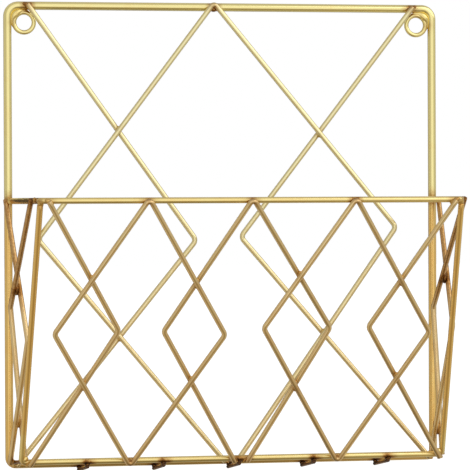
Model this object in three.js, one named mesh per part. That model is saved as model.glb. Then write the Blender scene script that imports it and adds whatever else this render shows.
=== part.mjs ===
// A wall magazine rack of bent and welded round wire.
// A tall back frame hangs on two loops, and an open-topped basket of crossed wires leans out of its lower half.
// Millimetres. X runs across, +Y into the wall, +Z up, and the wall is the plane Y = 0.
// The origin lies on the wall, midway between the centres of the two hanging loops.

import * as THREE from 'three';

// Overall sizes, the heights from the centre line of the back frame's bottom bar
const rackWidth = 300;
const frameHeight = 313;
const rimHeight = 176.5;
const basketDepth = 96;
const floorDepth = 33;
const frontBarRise = 3.7;

// Wire diameters
const frameWire = 5.5;
const rimWire = 4;
const frontWire = 4;
const latticeWire = 3.5;
const floorWire = 2.5;
const loopWire = 3;

// Radii on the inside of the bends
const frameTopBend = 4.5;
const frameFootBend = 1.5;
const rimCornerBend = 1.6;
const elbowBend = 0.8;
const latticeBend = 2.4;
const tipBend = 0.5;
const loopHole = 5.2;

// Clear distance between one wire and the next where they are welded
const weldGap = 0.3;

// How far each of the basket's sides leans in from the back frame
const rimBackInset = 1;
const rimCornerInset = 6.7;
const elbowInset = 3.2;

// Diamonds on the basket's front: half a one at each edge and whole ones between
// The end inset runs from the front edges to the half diamonds' tips, and the bend setback to the next diamond's tip.
const frontEndInset = 2.2;
const frontBendSetback = 12.4;
const frontBendHeight = 93.6;
const frontPatternShift = -1;

// Diamonds in the back frame: half a one at each upright and a whole one between
const backEndInset = 5.5;
const backBendSetback = 15;
const backBendHeight = 152.5;
const backPatternShift = -1;

// How far a wire's cut end, or the corner of a diamond's tip, reaches past the centre line of the bar it lies on
const endOverhang = 1;
const tipOverhang = 2.6;

// How far apart the two ends of a diamond lie where its wire isn't closed at the foot
const backFootOpening = 7.9;
const frontFootOpening = 8.4;

// Each hand-bent wire, from left to right, and how far it strays from the even pattern:
// its top and foot across, and its bends across and up. The raised ones pass in front of their neighbours.
const backDiamonds = [
  { name: 'back_half_diamond_left', top: 5.6, foot: -3.1, right: { across: -3, up: -3 } },
  {
    name: 'back_diamond',
    raised: true,
    footOpening: backFootOpening,
    top: -5.8,
    foot: 4.8,
    left: { across: -3.6, up: -1.7 },
    right: { across: -3.7, up: 5.3 },
  },
  { name: 'back_half_diamond_right', top: -5.2, foot: 5.5, left: { across: -2.2, up: -0.9 } },
];
const frontDiamonds = [
  { name: 'front_half_diamond_left', top: 3.7, foot: 0.4, right: { across: -1.7, up: 0 } },
  {
    name: 'front_diamond_1',
    raised: true,
    top: 0.2,
    foot: -1.6,
    left: { across: -1.1, up: 0.5 },
    right: { across: -0.8, up: -1.3 },
  },
  {
    name: 'front_diamond_2',
    footOpening: frontFootOpening,
    top: -0.4,
    foot: 4.7,
    left: { across: 3.4, up: -0.9 },
    right: { across: 2.3, up: 0.5 },
  },
  {
    name: 'front_diamond_3',
    raised: true,
    top: -0.3,
    foot: 1.9,
    left: { across: 0, up: 2.9 },
    right: { across: 0, up: -1.1 },
  },
  { name: 'front_half_diamond_right', top: -1.4, foot: 4.4, left: { across: 3.8, up: 0.6 } },
];

// The two chevrons in each side of the basket
// The rear one bends towards the wall, and the fore one towards the front.
// Their tops: the rear one's from the rim's corner, the fore one's from the back frame
const rearTopSetback = 8.5;
const foreTopSetback = 6.5;

// Their feet: the rear one's from the front bar, the fore one's from the back frame
const rearFootSetback = 10.8;
const leftForeFootSetback = 11.5;
const rightForeFootSetback = 14;

// Their bends: the rear one's from the back frame, the fore one's from the front face
const leftRearBendSetback = 24;
const leftRearBendHeight = 106;
const leftForeBendSetback = 14;
const leftForeBendHeight = 85;
const rightRearBendSetback = 20;
const rightRearBendHeight = 103;
const rightForeBendSetback = 9;
const rightForeBendHeight = 92;

// How far the outer one's bend stands out from the side
const leftBendOffset = 4.1;
const rightBendOffset = 2.6;

// The one named as outer passes outside the other at the upper crossing, and inside it at the lower one.
const sideLattices = [
  {
    side: 'left',
    sign: -1,
    outer: 'rear',
    outerBendOffset: leftBendOffset,
    rear: { bendSetback: leftRearBendSetback, bendHeight: leftRearBendHeight },
    fore: { bendSetback: leftForeBendSetback, bendHeight: leftForeBendHeight, footSetback: leftForeFootSetback },
  },
  {
    side: 'right',
    sign: 1,
    outer: 'fore',
    outerBendOffset: rightBendOffset,
    rear: { bendSetback: rightRearBendSetback, bendHeight: rightRearBendHeight },
    fore: { bendSetback: rightForeBendSetback, bendHeight: rightForeBendHeight, footSetback: rightForeFootSetback },
  },
];

// Floor wires under the two bottom bars, the first and the last one this far in from the uprights
const floorWires = 5;
const floorEndInset = 44.2;
const floorShift = 3;
const floorEndOverhang = 1.8;

// Flats round a section, and rings along a bend
const thickSides = 12;
const thinSides = 8;
const bendRings = 7;
const loopSegments = 32;

// Rounds in which the leaning side wires settle at their clearances
const settlingRounds = 12;

// Colours of the plated wire
const brightGold = 0xd8b060;
const deepGold = 0xb98c45;

// Sizes that follow from the ones above
const frameRadius = frameWire / 2;
const rimRadius = rimWire / 2;
const frontRadius = frontWire / 2;
const latticeRadius = latticeWire / 2;
const floorRadius = floorWire / 2;
const loopRadius = loopWire / 2;
const halfWidth = (rackWidth - frameWire) / 2;
const topBarHeight = frameHeight - frameWire;
const frameY = -frameRadius;
const rimY = frameY - basketDepth;
const frontBarY = frameY - floorDepth;
const rimCornerX = halfWidth - rimCornerInset;
const elbowX = halfWidth - elbowInset;
const latticeSpacing = latticeWire + weldGap;
const loopReach = frameRadius + weldGap + loopWire + loopHole;
const loopHeight = topBarHeight - loopReach;

const across = new THREE.Vector3(1, 0, 0);
const toWall = new THREE.Vector3(0, 1, 0);
const upward = new THREE.Vector3(0, 0, 1);

// The share of a quarter bend's radius by which its middle is cut inside the sharp corner
const cornerCut = 1 - Math.SQRT1_2;

/** How far the corners of a section with flats stand out beyond its radius. */
const cornerReach = (radius, sides) => radius / Math.cos(Math.PI / sides);

/** A corner of a wire's centre line, and the radius of the bend there. */
const corner = (at, bend = 0) => ({ at, bend });

/** A wire's centre line: straight runs with a round bend at each corner. */
class WirePath extends THREE.Curve {
  constructor(corners, facing, closed = false) {
    super();
    this.facing = facing;
    this.stations = [];
    this.tangents = [];
    const last = corners.length - 1;
    corners.forEach(({ at, bend }, index) => {
      const before = corners[index === 0 ? last : index - 1].at;
      const after = corners[index === last ? 0 : index + 1].at;
      if (!closed && index === 0) this.addRing(at, after.clone().sub(at).normalize());
      else if (!closed && index === last) this.addRing(at, at.clone().sub(before).normalize());
      else this.addBend(before, at, after, bend);
    });
    if (closed) this.addRing(this.stations[0], this.tangents[0]);
  }

  addRing(station, tangent) {
    this.stations.push(station.clone());
    this.tangents.push(tangent.clone());
  }

  addBend(before, at, after, radius) {
    const into = at.clone().sub(before).normalize();
    const out = after.clone().sub(at).normalize();
    const turn = into.angleTo(out);
    const start = at.clone().addScaledVector(into, -radius * Math.tan(turn / 2));
    const inward = out.clone().addScaledVector(into, -out.dot(into)).normalize();
    for (let ring = 0; ring < bendRings; ring += 1) {
      const angle = (turn * ring) / (bendRings - 1);
      const station = start.clone().addScaledVector(into, radius * Math.sin(angle));
      station.addScaledVector(inward, radius * (1 - Math.cos(angle)));
      const tangent = into.clone().multiplyScalar(Math.cos(angle));
      this.addRing(station, tangent.addScaledVector(inward, Math.sin(angle)));
    }
  }

  get steps() {
    return this.stations.length - 1;
  }

  getPoint(t, target = new THREE.Vector3()) {
    return target.copy(this.stations[Math.round(t * this.steps)]);
  }

  getPointAt(t, target) {
    return this.getPoint(t, target);
  }

  getSpacedPoints() {
    return this.stations;
  }

  // Each ring keeps one flat square to the facing direction, so the wire doesn't twist.
  computeFrenetFrames() {
    const normals = this.tangents.map((tangent) => {
      return this.facing.clone().addScaledVector(tangent, -this.facing.dot(tangent)).normalize();
    });
    const binormals = normals.map((normal, index) => {
      return new THREE.Vector3().crossVectors(this.tangents[index], normal);
    });
    return { tangents: this.tangents, normals, binormals };
  }
}

/** A closed wire's centre line, turned half a flat because its section starts at a corner. */
class LoopPath extends WirePath {
  constructor(corners, facing, sides) {
    super(corners, facing, true);
    this.halfFlat = Math.PI / sides;
  }

  computeFrenetFrames() {
    const frames = super.computeFrenetFrames();
    frames.tangents.forEach((tangent, index) => {
      frames.normals[index].applyAxisAngle(tangent, this.halfFlat);
      frames.binormals[index].applyAxisAngle(tangent, this.halfFlat);
    });
    return frames;
  }
}

/** A wire's section: a regular polygon, as wide across its flats as the wire is thick. */
function wireSection(radius, sides) {
  const reach = cornerReach(radius, sides);
  const points = Array.from({ length: sides }, (_, index) => {
    const angle = (2 * Math.PI * (index + 0.5)) / sides;
    return new THREE.Vector2(reach * Math.cos(angle), reach * Math.sin(angle));
  });
  return new THREE.Shape(points);
}

/** One named wire that follows a path from cut end to cut end. */
function openWire(name, corners, facing, radius, sides, color) {
  const path = new WirePath(corners, facing);
  const settings = { steps: path.steps, extrudePath: path };
  return wireMesh(name, new THREE.ExtrudeGeometry(wireSection(radius, sides), settings), color);
}

/** One named wire whose two ends are joined. */
function closedWire(name, corners, facing, radius, sides, color) {
  const path = new LoopPath(corners, facing, sides);
  const geometry = new THREE.TubeGeometry(path, path.steps, cornerReach(radius, sides), sides, true);
  return wireMesh(name, geometry, color);
}

function wireMesh(name, geometry, color) {
  const material = new THREE.MeshStandardMaterial({ color, roughness: 0.25, metalness: 1 });
  const mesh = new THREE.Mesh(geometry, material);
  mesh.name = name;
  return mesh;
}

/** The rectangle of thick wire that lies flat on the wall. */
function backFrame() {
  const topBend = frameTopBend + frameRadius;
  const footBend = frameFootBend + frameRadius;
  const corners = [
    corner(new THREE.Vector3(-halfWidth, frameY, 0), footBend),
    corner(new THREE.Vector3(halfWidth, frameY, 0), footBend),
    corner(new THREE.Vector3(halfWidth, frameY, topBarHeight), topBend),
    corner(new THREE.Vector3(-halfWidth, frameY, topBarHeight), topBend),
  ];
  return closedWire('back_frame', corners, toWall, frameRadius, thickSides, brightGold);
}

/** A ring in an upper corner of the back frame, welded to the upright and to the top bar. */
function hangingLoop(side, sign) {
  const geometry = new THREE.TorusGeometry(loopHole + loopRadius, loopRadius, thinSides, loopSegments);
  const loop = wireMesh(`hanging_loop_${side}`, geometry, brightGold);
  loop.rotation.x = Math.PI / 2;
  loop.position.set(sign * (halfWidth - loopReach), frameY, loopHeight);
  return loop;
}

/** The basket's rim: two arms from the uprights and the bar across the front. */
function basketRim() {
  const bend = rimCornerBend + rimRadius;
  const backX = halfWidth - rimBackInset;
  const backY = frameY - cornerReach(frameRadius, thickSides) - weldGap - rimRadius * Math.tan(armAngle());
  const corners = [
    corner(new THREE.Vector3(-backX, backY, rimHeight)),
    corner(new THREE.Vector3(-rimCornerX, rimY, rimHeight), bend),
    corner(new THREE.Vector3(rimCornerX, rimY, rimHeight), bend),
    corner(new THREE.Vector3(backX, backY, rimHeight)),
  ];
  return openWire('basket_rim', corners, upward, rimRadius, thickSides, brightGold);
}

/** The angle by which the rim's arms lean in. */
function armAngle() {
  return Math.atan((rimCornerInset - rimBackInset) / basketDepth);
}

// The basket's front face, from the front bar's centre line up to the rim's
const faceFoot = new THREE.Vector3(0, frontBarY, frontBarRise);
const faceRise = new THREE.Vector3(0, rimY - frontBarY, rimHeight - frontBarRise);
const faceLength = faceRise.length();
const faceUp = faceRise.clone().normalize();
const frontFace = { origin: faceFoot, up: faceUp, out: new THREE.Vector3(0, -faceUp.z, faceUp.y) };

// The back frame's front, from the bottom bar's centre line up to the top bar's
const backOut = toWall.clone().negate();
const backPanel = { origin: new THREE.Vector3(0, frameY, 0), up: upward, out: backOut };

/** A point of a panel: across it, up it, and out of it. */
function panelPoint(panel, x, up, out) {
  const point = panel.origin.clone().addScaledVector(across, x);
  return point.addScaledVector(panel.up, up).addScaledVector(panel.out, out);
}

/** The wire that makes the basket's bottom front bar and, past two tight elbows, its two front edges. */
function frontFrame() {
  const bend = elbowBend + frontRadius;
  const rimReach = cornerReach(rimRadius, thickSides) * faceUp.z;
  const edgeReach = cornerReach(frontRadius, thickSides) * -faceUp.y;
  const topUp = faceLength - rimReach - edgeReach - weldGap;
  const corners = [
    corner(panelPoint(frontFace, -rimCornerX, topUp, 0)),
    corner(panelPoint(frontFace, -elbowX, 0, 0), bend),
    corner(panelPoint(frontFace, elbowX, 0, 0), bend),
    corner(panelPoint(frontFace, rimCornerX, topUp, 0)),
  ];
  return openWire('front_frame', corners, frontFace.out, frontRadius, thickSides, brightGold);
}

/**
 * A row of diamonds with their tips on the panel's two bars, and half a diamond at each end of the row.
 * Neighbours cross twice, one wire over the other, because their side bends stand apart.
 */
function diamondRow(panel, pattern) {
  const last = pattern.wires.length - 1;
  const pitch = (2 * pattern.halfSpan) / last;
  const reach = pitch - pattern.bendSetback;
  const toCrossing = pitch / 2 / reach;
  const push = latticeSpacing / 2 / toCrossing;
  const topBar = pattern.length;
  return pattern.wires.map((wire, index) => {
    const tipX = (index - last / 2) * pitch + pattern.shift;
    const place = (x, up, out) => panelPoint(panel, tipX + x, up, pattern.lap + out);
    const sideBend = (towards, stray) => {
      const up = pattern.bendHeight + stray.up;
      const at = place(towards * reach + stray.across, up, wire.raised ? push : -push);
      return corner(at, latticeBend + latticeRadius);
    };
    const tip = (x, up) => corner(place(x, up, 0), tipBend + latticeRadius);
    const end = (x, up) => corner(place(x, up, 0));

    if (!wire.left || !wire.right) {
      const bend = wire.right ? sideBend(1, wire.right) : sideBend(-1, wire.left);
      const half = [end(wire.top, topBar + endOverhang), bend, end(wire.foot, -endOverhang)];
      return openWire(wire.name, half, panel.out, latticeRadius, thinSides, deepGold);
    }
    const over = [sideBend(-1, wire.left), tip(wire.top, topBar + tipOverhang), sideBend(1, wire.right)];
    if (wire.footOpening) {
      const leftEnd = end(wire.foot - wire.footOpening / 2, -endOverhang);
      const rightEnd = end(wire.foot + wire.footOpening / 2, -endOverhang);
      return openWire(wire.name, [leftEnd, ...over, rightEnd], panel.out, latticeRadius, thinSides, deepGold);
    }
    const closed = [...over, tip(wire.foot, -tipOverhang)];
    return closedWire(wire.name, closed, panel.out, latticeRadius, thinSides, deepGold);
  });
}

/** The diamonds that fill the back frame. */
function backLattice() {
  return diamondRow(backPanel, {
    wires: backDiamonds,
    halfSpan: halfWidth - frameRadius - backEndInset,
    bendSetback: backBendSetback,
    bendHeight: backBendHeight,
    length: topBarHeight,
    lap: frameRadius + weldGap + latticeRadius,
    shift: backPatternShift,
  });
}

/** The diamonds on the basket's front. */
function frontLattice() {
  return diamondRow(frontFace, {
    wires: frontDiamonds,
    halfSpan: rimCornerX - frontEndInset,
    bendSetback: frontBendSetback,
    bendHeight: frontBendHeight,
    length: faceLength,
    lap: Math.max(rimRadius, frontRadius) + weldGap + latticeRadius,
    shift: frontPatternShift,
  });
}

// The floor's end wires run from the back frame's lower corners to the front elbows: the right one's two ends
const cornerMiddle = (frameFootBend + frameRadius) * cornerCut;
const elbowMiddle = (elbowBend + frontRadius) * cornerCut;
const sillBackDepth = cornerReach(frameRadius, thickSides) + weldGap;
const sillBack = new THREE.Vector3(halfWidth - cornerMiddle, frameY - sillBackDepth, cornerMiddle);
const elbowCentre = panelPoint(frontFace, elbowX - elbowMiddle, elbowMiddle, 0);
const sillAlong = elbowCentre.clone().sub(sillBack).normalize();
const sillFrontSetback = cornerReach(frontRadius, thickSides) + weldGap;
const sillFront = elbowCentre.clone().addScaledVector(sillAlong, -sillFrontSetback);

/** The point of the right-hand end wire's centre line at some depth in front of the back frame. */
function sillPoint(depth) {
  return sillBack.clone().addScaledVector(sillAlong, (frameY - depth - sillBack.y) / sillAlong.y);
}

/** The same point on the left or on the right. */
function onSide(sign, point) {
  return new THREE.Vector3(sign * point.x, point.y, point.z);
}

/** The short wire that closes the floor at one end. */
function floorEndWire(side, sign) {
  const corners = [corner(onSide(sign, sillBack)), corner(onSide(sign, sillFront))];
  return openWire(`floor_end_wire_${side}`, corners, upward, floorRadius, thinSides, deepGold);
}

/** The short wires under the two bottom bars. */
function floorWireRow() {
  const lap = weldGap + cornerReach(floorRadius, thinSides);
  const backZ = -cornerReach(frameRadius, thickSides) - lap;
  const frontZ = frontBarRise - cornerReach(frontRadius, thickSides) - lap;
  const slope = (backZ - frontZ) / floorDepth;
  const pitch = (2 * (halfWidth - floorEndInset)) / (floorWires - 1);
  const backEnd = frameY + floorEndOverhang;
  const frontEnd = frontBarY - floorEndOverhang;
  return Array.from({ length: floorWires }, (_, index) => {
    const x = (index - (floorWires - 1) / 2) * pitch + floorShift;
    const corners = [
      corner(new THREE.Vector3(x, backEnd, backZ + slope * floorEndOverhang)),
      corner(new THREE.Vector3(x, frontEnd, frontZ - slope * floorEndOverhang)),
    ];
    return openWire(`floor_wire_${index + 1}`, corners, upward, floorRadius, thinSides, deepGold);
  });
}

/** Depth of the front face at some height. */
function faceDepth(height) {
  const share = (height - frontBarRise) / (rimHeight - frontBarRise);
  return THREE.MathUtils.lerp(floorDepth, basketDepth, share);
}

/** Distance of a side's surface from the rack's middle, at some depth and height. */
function sideX(depth, height) {
  const share = (height - frontBarRise) / (rimHeight - frontBarRise);
  const frontInset = THREE.MathUtils.lerp(elbowInset, rimCornerInset, share);
  return halfWidth - (frontInset * depth) / faceDepth(height);
}

/** Distance of a rim arm's centre line from the rack's middle, at some depth. */
function armX(depth) {
  return halfWidth - rimBackInset - depth * Math.tan(armAngle());
}

/** Where two runs cross, seen from the side: the share of each run from its first end to the crossing. */
function crossing(first, second) {
  const [a, b] = first;
  const [c, d] = second;
  const run = { y: b.y - a.y, z: b.z - a.z };
  const other = { y: d.y - c.y, z: d.z - c.z };
  const turn = run.y * other.z - run.z * other.y;
  const between = { y: c.y - a.y, z: c.z - a.z };
  return {
    first: (between.y * other.z - between.z * other.y) / turn,
    second: (between.y * run.z - between.z * run.y) / turn,
  };
}

/** The lateral distance at which two runs clear each other where they cross, as they stand now. */
function clearance(first, second) {
  const along = first[1].clone().sub(first[0]);
  const normal = along.cross(second[1].clone().sub(second[0])).normalize();
  return (2 * cornerReach(latticeRadius, thinSides) + weldGap) / Math.abs(normal.x);
}

/** The two chevrons in one side. They pass each other at both crossings, with the wires one over the other. */
function sideLattice({ side, sign, outer, outerBendOffset, rear, fore }) {
  const armLap = rimRadius + weldGap + latticeRadius;
  const sillLap = floorRadius + weldGap + latticeRadius;
  const place = (x, depth, height) => new THREE.Vector3(x, frameY - depth, height);
  const topAt = (depth) => place(armX(depth) + armLap, depth, rimHeight + endOverhang);
  const bendAt = (depth, height) => place(sideX(depth, height) + outerBendOffset, depth, height);
  const footAt = (depth) => sillPoint(depth).add(new THREE.Vector3(sillLap, 0, -endOverhang));
  const wires = {
    rear: [
      topAt(basketDepth - rearTopSetback),
      bendAt(rear.bendSetback, rear.bendHeight),
      footAt(floorDepth - rearFootSetback),
    ],
    fore: [
      topAt(foreTopSetback),
      bendAt(faceDepth(fore.bendHeight) - fore.bendSetback, fore.bendHeight),
      footAt(fore.footSetback),
    ],
  };
  const upperOuter = wires[outer];
  const upperInner = outer === 'rear' ? wires.fore : wires.rear;
  const innerFootX = upperOuter[2].x - 2 * sillLap;

  // Above, the inner wire's bend stands in far enough to pass behind the outer wire.
  // Below, the two change places, and the outer wire's foot stands on the inner side of the floor's end wire.
  for (let round = 0; round < settlingRounds; round += 1) {
    const above = [upperOuter.slice(0, 2), upperInner.slice(0, 2)];
    const atAbove = crossing(...above);
    const outerX = THREE.MathUtils.lerp(upperOuter[0].x, upperOuter[1].x, atAbove.first);
    const innerX = outerX - clearance(...above);
    upperInner[1].x = upperInner[0].x + (innerX - upperInner[0].x) / atAbove.second;

    const below = [upperOuter.slice(1), upperInner.slice(1)];
    const atBelow = crossing(...below);
    const passedX = THREE.MathUtils.lerp(upperInner[1].x, upperInner[2].x, atBelow.second);
    const clearX = passedX - clearance(...below);
    const clearFootX = upperOuter[1].x + (clearX - upperOuter[1].x) / atBelow.first;
    upperOuter[2].x = Math.min(innerFootX, clearFootX);
  }

  return Object.entries(wires).map(([name, [top, bend, foot]]) => {
    const corners = [
      corner(onSide(sign, top)),
      corner(onSide(sign, bend), latticeBend + latticeRadius),
      corner(onSide(sign, foot)),
    ];
    return openWire(`side_chevron_${side}_${name}`, corners, across, latticeRadius, thinSides, deepGold);
  });
}

const rack = new THREE.Group();
rack.add(backFrame());
rack.add(hangingLoop('left', -1), hangingLoop('right', 1));
rack.add(...backLattice());
rack.add(basketRim());
rack.add(frontFrame());
rack.add(...frontLattice());
rack.add(...sideLattices.flatMap(sideLattice));
rack.add(...floorWireRow());
rack.add(floorEndWire('left', -1), floorEndWire('right', 1));
rack.position.z = -loopHeight;

const assembly = new THREE.Group();
assembly.add(rack);

export default assembly;
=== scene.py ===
"""Looks of a wall magazine rack: round, gold-plated steel wire with its bends, cut ends and welds.

Every wire follows the centre line of its solid in the frame. Sizes are in millimetres until a mesh is made.
"""
import logging
import math
from dataclasses import dataclass, field, replace
from enum import Enum

import bmesh
import bpy
from mathutils import Matrix, Vector


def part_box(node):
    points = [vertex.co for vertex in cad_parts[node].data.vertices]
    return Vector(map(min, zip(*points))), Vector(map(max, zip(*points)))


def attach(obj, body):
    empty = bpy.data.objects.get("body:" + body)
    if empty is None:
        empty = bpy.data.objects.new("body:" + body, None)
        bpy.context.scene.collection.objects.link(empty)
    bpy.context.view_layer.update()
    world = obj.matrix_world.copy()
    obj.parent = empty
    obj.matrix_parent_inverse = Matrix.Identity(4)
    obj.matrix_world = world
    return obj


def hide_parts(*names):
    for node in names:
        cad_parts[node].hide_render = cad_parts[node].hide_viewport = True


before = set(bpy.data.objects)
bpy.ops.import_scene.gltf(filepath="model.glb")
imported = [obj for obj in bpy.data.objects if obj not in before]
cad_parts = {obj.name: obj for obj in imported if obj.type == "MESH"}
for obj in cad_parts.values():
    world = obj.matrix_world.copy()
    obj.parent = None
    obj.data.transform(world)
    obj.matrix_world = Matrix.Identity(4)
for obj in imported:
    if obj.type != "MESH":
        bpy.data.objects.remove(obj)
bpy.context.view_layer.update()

MM = 0.001
ACROSS = Vector((1, 0, 0))
TO_WALL = Vector((0, 1, 0))
UPWARD = Vector((0, 0, 1))

# The colour mix's two inputs and its output, past those for numbers and vectors
MIX_FIRST, MIX_SECOND, MIX_RESULT = 6, 7, 2

# Edges that turn further than this, in degrees, stay sharp
SHARPEST_SMOOTH = 50

Object = bpy.types.Object
Tree = bpy.types.NodeTree
Socket = bpy.types.NodeSocket

logging.basicConfig(level=logging.INFO, format="%(message)s")
log = logging.getLogger("magazine_rack")


class Slot(Enum):
    """The record's material slots."""

    FRAME = "gold_frame"
    LATTICE = "gold_lattice"


class Side(Enum):
    """The two sides of the rack, with their signs across it."""

    LEFT = -1
    RIGHT = 1

    @property
    def word(self) -> str:
        """The side's name as it stands in the names of pieces."""
        return self.name.lower()


def linear(hex_colour: str) -> tuple[float, float, float, float]:
    """Turn an sRGB hex colour to the linear one that a shader takes.

    Args:
        hex_colour: six hex digits after a hash.

    Returns:
        Red, green, blue and an alpha of one.
    """
    values = [int(hex_colour[i:i + 2], 16) / 255 for i in (1, 3, 5)]
    turned = [v / 12.92 if v <= 0.04045 else ((v + 0.055) / 1.055) ** 2.4 for v in values]
    return (*turned, 1.0)


def add_node(tree: Tree, kind: str, settings: dict | None = None,
             inputs: dict | None = None) -> bpy.types.Node:
    """Add a node with its settings, its plain inputs and its links.

    Args:
        tree: the node tree.
        kind: the node's type name.
        settings: attributes to set on the node.
        inputs: by socket name or number, a value or the output socket to link from.

    Returns:
        The new node.
    """
    node = tree.nodes.new(kind)
    for name, value in (settings or {}).items():
        setattr(node, name, value)
    for name, value in (inputs or {}).items():
        socket = node.inputs[name]
        if isinstance(value, Socket):
            tree.links.new(value, socket)
        else:
            socket.default_value = value
    return node


def arithmetic(tree: Tree, operation: str, *values: float | Socket, clamp: bool = False) -> Socket:
    """The result of one sum.

    Args:
        tree: the node tree.
        operation: the sum's name in Blender.
        values: its plain values and sockets, in order.
        clamp: whether the result stays between nought and one.

    Returns:
        The result's socket.
    """
    settings = {"operation": operation, "use_clamp": clamp}
    return add_node(tree, "ShaderNodeMath", settings, dict(enumerate(values))).outputs[0]


def ramp(tree: Tree, value: Socket, span: tuple[float, float], result: tuple[float, float] = (0.0, 1.0),
         eased: bool = False) -> Socket:
    """A value that follows another one between two ends.

    Args:
        tree: the node tree.
        value: the value to follow.
        span: where it starts and ends.
        result: what the new value is there.
        eased: whether the new value starts and ends softly.

    Returns:
        The new value's socket.
    """
    settings = {"interpolation_type": "SMOOTHSTEP" if eased else "LINEAR"}
    inputs = dict(enumerate((value, *span, *result)))
    return add_node(tree, "ShaderNodeMapRange", settings, inputs).outputs[0]


def blend(tree: Tree, share: Socket, first: Socket | tuple, second: Socket | tuple) -> Socket:
    """A colour that passes from a first to a second one with the share."""
    inputs = {0: share, MIX_FIRST: first, MIX_SECOND: second}
    return add_node(tree, "ShaderNodeMix", {"data_type": "RGBA"}, inputs).outputs[MIX_RESULT]


def noise(tree: Tree, place: Socket, size_mm: float, detail: float) -> Socket:
    """A noise whose lumps have a real size."""
    inputs = {"Vector": place, "Scale": 1 / (size_mm * MM), "Detail": detail}
    return add_node(tree, "ShaderNodeTexNoise", inputs=inputs).outputs[0]


def attribute(tree: Tree, name: str, output: str = "Fac") -> Socket:
    """What is written on a mesh under some name."""
    return add_node(tree, "ShaderNodeAttribute", {"attribute_name": name}).outputs[output]


def object_place(tree: Tree) -> Socket:
    """The place on the object, in its own coordinates."""
    return add_node(tree, "ShaderNodeTexCoord").outputs["Object"]


def new_material(name: str) -> bpy.types.Material:
    """A material with an empty node tree."""
    material = bpy.data.materials.new(name)
    material.use_nodes = True
    material.node_tree.nodes.clear()
    return material


def open_mesh(name: str) -> Object:
    """Name the object just added, fix its place in its mesh, and open it with all of it selected.

    Args:
        name: the object's name.

    Returns:
        The object, in edit mode.
    """
    bpy.ops.object.transform_apply(location=True, rotation=True, scale=True)
    piece = bpy.context.object
    piece.name = name
    bpy.ops.object.mode_set(mode="EDIT")
    bpy.ops.mesh.select_all(action="SELECT")
    return piece


def close_mesh() -> None:
    """Turn every face of the open mesh outwards and leave edit mode."""
    bpy.ops.mesh.select_all(action="SELECT")
    bpy.ops.mesh.normals_make_consistent(inside=False)
    bpy.ops.object.mode_set(mode="OBJECT")


# Geometry of bent wire


@dataclass(frozen=True)
class Corner:
    """A corner of a wire's centre line, and the radius of the bend there."""

    at: Vector
    bend: float = 0.0


@dataclass(frozen=True)
class Bend:
    """A round bend: where it starts and ends, its centre, its axis and how far it turns."""

    start: Vector
    end: Vector
    centre: Vector
    axis: Vector
    turn: float

    @classmethod
    def between(cls, before: Vector, corner: Corner, after: Vector) -> "Bend":
        """The bend that rounds a corner.

        Args:
            before: the corner before it.
            corner: the corner itself.
            after: the corner after it.

        Returns:
            The bend.
        """
        into = (corner.at - before).normalized()
        out = (after - corner.at).normalized()
        turn = into.angle(out)
        setback = corner.bend * math.tan(turn / 2)
        start = corner.at - into * setback
        inward = (out - into * out.dot(into)).normalized()
        centre = start + inward * corner.bend
        return cls(start, corner.at + out * setback, centre, into.cross(out).normalized(), turn)

    def point(self, share: float) -> Vector:
        """The point at some share of the way round."""
        return Matrix.Rotation(self.turn * share, 3, self.axis) @ (self.start - self.centre) + self.centre


def select_ring(mesh: bpy.types.Mesh, at: Vector, normal: Vector, reach: float, slack: float = 0.02) -> None:
    """Select, in edit mode, only the vertices of the ring at one place.

    Args:
        mesh: the mesh in edit mode.
        at: the ring's centre, in metres.
        normal: the direction square to the ring.
        reach: how far from the centre a vertex may lie, in metres.
        slack: by what share of its reach a vertex may be out of place.
    """
    bpy.ops.mesh.select_all(action="DESELECT")
    shape = bmesh.from_edit_mesh(mesh)
    for vertex in shape.verts:
        offset = vertex.co - at
        vertex.select = abs(offset.dot(normal)) < reach * slack and offset.length < reach * (1 + slack)
    shape.select_flush(True)
    bmesh.update_edit_mesh(mesh)


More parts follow.
